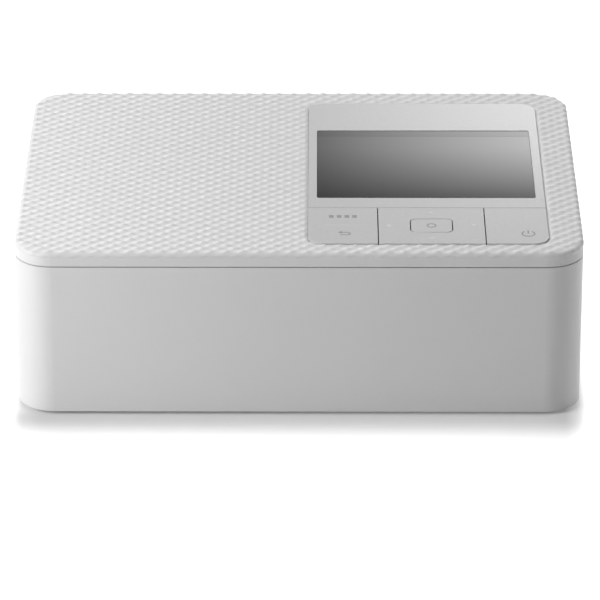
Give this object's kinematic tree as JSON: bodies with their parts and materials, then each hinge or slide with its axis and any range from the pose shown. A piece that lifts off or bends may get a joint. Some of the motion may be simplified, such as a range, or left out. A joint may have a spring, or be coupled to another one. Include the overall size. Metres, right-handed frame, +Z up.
{
  "type": "compact photo printer",
  "caption": "Compact dye-sublimation photo printer: flat white box with a recessed display and key row on top, a drop-down front door and a side door over the ink cassette.",
  "frame": {"origin": "on the surface it stands on, under the middle of the casing", "axes": "+X to the right of a person facing the front, +Y back from the front, +Z up"},
  "size_m": [0.1822, 0.133, 0.0576],
  "materials": {
    "shell": "fine-grained matte white",
    "textured_shell": "white with rows of small soft bumps",
    "panel": "pale grey, satin gloss",
    "display_glass": "dark gloss",
    "dark_plastic": "matte",
    "inner_plastic": "matte",
    "cassette": "matte",
    "rubber": "matte",
    "steel": "rolled sheet and ground bar",
    "aluminium": "extruded",
    "gear_plastic": "acetal",
    "brass": "turned",
    "board": "solder mask",
    "chips": "matte",
    "film": "thin dye film",
    "ceramic": "glazed ceramic",
    "flat_cable": "polyimide"
  },
  "bodies": {
    "casing": {"bottom_case": "shell", "top_cover": "textured_shell", "front_frame": "inner_plastic", "operation_panel": "panel", "lcd_window": "display_glass", "lcd_module": "dark_plastic", "lcd_frame": "steel", "display_cable": "flat_cable", "key_frame": "dark_plastic", "key_board": "board", "key_switches": "chips", "rubber_feet": "rubber", "case_screws": "steel", "inner_screws": "steel", "left_side_plate": "steel", "right_side_plate": "steel", "cross_bars": "steel", "plate_studs": "steel", "paper_guide": "dark_plastic", "roller_bushes": "dark_plastic", "pinch_blocks": "gear_plastic", "pinch_springs": "steel", "motor_plate": "steel", "stepper_motors": "steel", "ink_ribbon": "film", "ink_cassette": "cassette", "fan_housing": "dark_plastic", "main_board": "board", "connectors": "chips"},
    "front_door": {"front_door": "shell"},
    "ink_door": {"ink_door": "shell"},
    "menu_back_key": {"menu_back_key": "panel"},
    "nav_carrier": {"nav_carrier": "dark_plastic"},
    "nav_key": {"nav_key": "panel"},
    "ok_key": {"ok_key": "panel"},
    "power_key": {"power_key": "panel"},
    "feed_pinion": {"feed_pinion": "brass"},
    "reduction_gear": {"reduction_gear": "gear_plastic"},
    "platen": {"platen_shaft": "steel", "platen_sleeve": "rubber", "platen_gear": "gear_plastic"},
    "grip_idler": {"grip_idler": "gear_plastic"},
    "grip": {"grip_roller": "steel", "grip_gear": "gear_plastic"},
    "pinch": {"pinch_roller": "rubber"},
    "pickup_idler": {"pickup_idler": "gear_plastic"},
    "pickup": {"pickup_shaft": "steel", "pickup_tyres": "rubber", "pickup_gear": "gear_plastic"},
    "ribbon_pinion": {"ribbon_pinion": "brass"},
    "takeup": {"takeup_gear": "gear_plastic", "takeup_spool": "cassette"},
    "supply": {"supply_spool": "cassette"},
    "head": {"thermal_head": "ceramic", "head_heat_sink": "aluminium", "head_carrier": "steel"},
    "cam": {"cam_shaft": "steel", "cam_gear": "gear_plastic"},
    "head_pinion": {"head_pinion": "brass"},
    "fan": {"fan_rotor": "dark_plastic"}
  },
  "joints": [
    {"name": "front_door_hinge", "type": "hinge", "parent": "casing", "child": "front_door", "pos_m": [0, -0.063, 0.0065], "axis": [1, 0, 0], "range_deg": [0, 90]},
    {"name": "ink_door_hinge", "type": "hinge", "parent": "casing", "child": "ink_door", "pos_m": [0.0874, 0.026, 0.0252], "axis": [0, 1, 0], "range_deg": [0, 90]},
    {"name": "menu_back_rock", "type": "hinge", "parent": "casing", "child": "menu_back_key", "pos_m": [0.014, -0.04525, 0.05445], "axis": [1, 0, 0], "range_deg": [-1.2, 1.2], "stiffness_Nm_per_rad": 0.2},
    {"name": "nav_tip_fore_aft", "type": "hinge", "parent": "casing", "child": "nav_carrier", "pos_m": [0.0426, -0.04525, 0.05445], "axis": [1, 0, 0], "range_deg": [-1, 1], "stiffness_Nm_per_rad": 0.3},
    {"name": "nav_tip_sideways", "type": "hinge", "parent": "nav_carrier", "child": "nav_key", "pos_m": [0.0426, -0.04525, 0.05445], "axis": [0, 1, 0], "range_deg": [-1, 1], "stiffness_Nm_per_rad": 0.3},
    {"name": "ok_press", "type": "slide", "parent": "casing", "child": "ok_key", "axis": [0, 0, -1], "range_m": [0, 0.0004], "stiffness_N_per_m": 600},
    {"name": "power_press", "type": "slide", "parent": "casing", "child": "power_key", "axis": [0, 0, -1], "range_m": [0, 0.0004], "stiffness_N_per_m": 600},
    {"name": "feed_motor_spin", "type": "hinge", "parent": "casing", "child": "feed_pinion", "pos_m": [-0.0524, 0.05407, 0.0278], "axis": [1, 0, 0], "continuous": true},
    {"name": "reduction_spin", "type": "hinge", "parent": "casing", "child": "reduction_gear", "pos_m": [-0.0524, 0.0412, 0.017], "axis": [1, 0, 0], "continuous": true},
    {"name": "platen_spin", "type": "hinge", "parent": "casing", "child": "platen", "pos_m": [0.014, 0.026, 0.017], "axis": [1, 0, 0], "continuous": true},
    {"name": "grip_idler_spin", "type": "hinge", "parent": "casing", "child": "grip_idler", "pos_m": [-0.0524, 0.00698, 0.01437], "axis": [1, 0, 0], "continuous": true},
    {"name": "grip_spin", "type": "hinge", "parent": "casing", "child": "grip", "pos_m": [0.014, -0.01, 0.019], "axis": [1, 0, 0], "continuous": true},
    {"name": "pinch_spin", "type": "hinge", "parent": "casing", "child": "pinch", "pos_m": [0.014, -0.01, 0.0281], "axis": [1, 0, 0], "continuous": true},
    {"name": "pickup_idler_spin", "type": "hinge", "parent": "casing", "child": "pickup_idler", "pos_m": [-0.0524, -0.02158, 0.02445], "axis": [1, 0, 0], "continuous": true},
    {"name": "pickup_spin", "type": "hinge", "parent": "casing", "child": "pickup", "pos_m": [0.014, -0.03, 0.033], "axis": [1, 0, 0], "continuous": true},
    {"name": "ribbon_motor_spin", "type": "hinge", "parent": "casing", "child": "ribbon_pinion", "pos_m": [-0.0524, -0.0082, 0.037], "axis": [1, 0, 0], "continuous": true},
    {"name": "takeup_spin", "type": "hinge", "parent": "casing", "child": "takeup", "pos_m": [0.014, 0.007, 0.037], "axis": [1, 0, 0], "continuous": true},
    {"name": "supply_spin", "type": "hinge", "parent": "casing", "child": "supply", "pos_m": [0.014, 0.045, 0.037], "axis": [1, 0, 0], "continuous": true},
    {"name": "head_press", "type": "slide", "parent": "casing", "child": "head", "axis": [0, 0, -1], "range_m": [0, 0.0032]},
    {"name": "cam_turn", "type": "hinge", "parent": "casing", "child": "cam", "pos_m": [0.014, 0.026, 0.042], "axis": [1, 0, 0], "range_deg": [0, 180]},
    {"name": "head_motor_turn", "type": "hinge", "parent": "casing", "child": "head_pinion", "pos_m": [-0.0524, 0.03501, 0.0368], "axis": [1, 0, 0], "range_deg": [-210, 0]},
    {"name": "fan_spin", "type": "hinge", "parent": "casing", "child": "fan", "pos_m": [-0.085, 0.03, 0.022], "axis": [1, 0, 0], "continuous": true}
  ],
  "couplings": [
    {"joint": "reduction_spin", "follows": "platen_spin", "ratio": -1.7143},
    {"joint": "feed_motor_spin", "follows": "platen_spin", "ratio": 4.2857},
    {"joint": "grip_idler_spin", "follows": "platen_spin", "ratio": -1},
    {"joint": "grip_spin", "follows": "platen_spin", "ratio": 1.2},
    {"joint": "pinch_spin", "follows": "platen_spin", "ratio": -1.5},
    {"joint": "pickup_idler_spin", "follows": "platen_spin", "ratio": -2},
    {"joint": "pickup_spin", "follows": "platen_spin", "ratio": 1.3333},
    {"joint": "ribbon_motor_spin", "follows": "takeup_spin", "ratio": -2.1667},
    {"joint": "supply_spin", "follows": "takeup_spin", "ratio": 0.71429},
    {"joint": "cam_turn", "follows": "head_press", "rad_per_m": 981.75},
    {"joint": "head_motor_turn", "follows": "head_press", "rad_per_m": -1145.4}
  ]
}
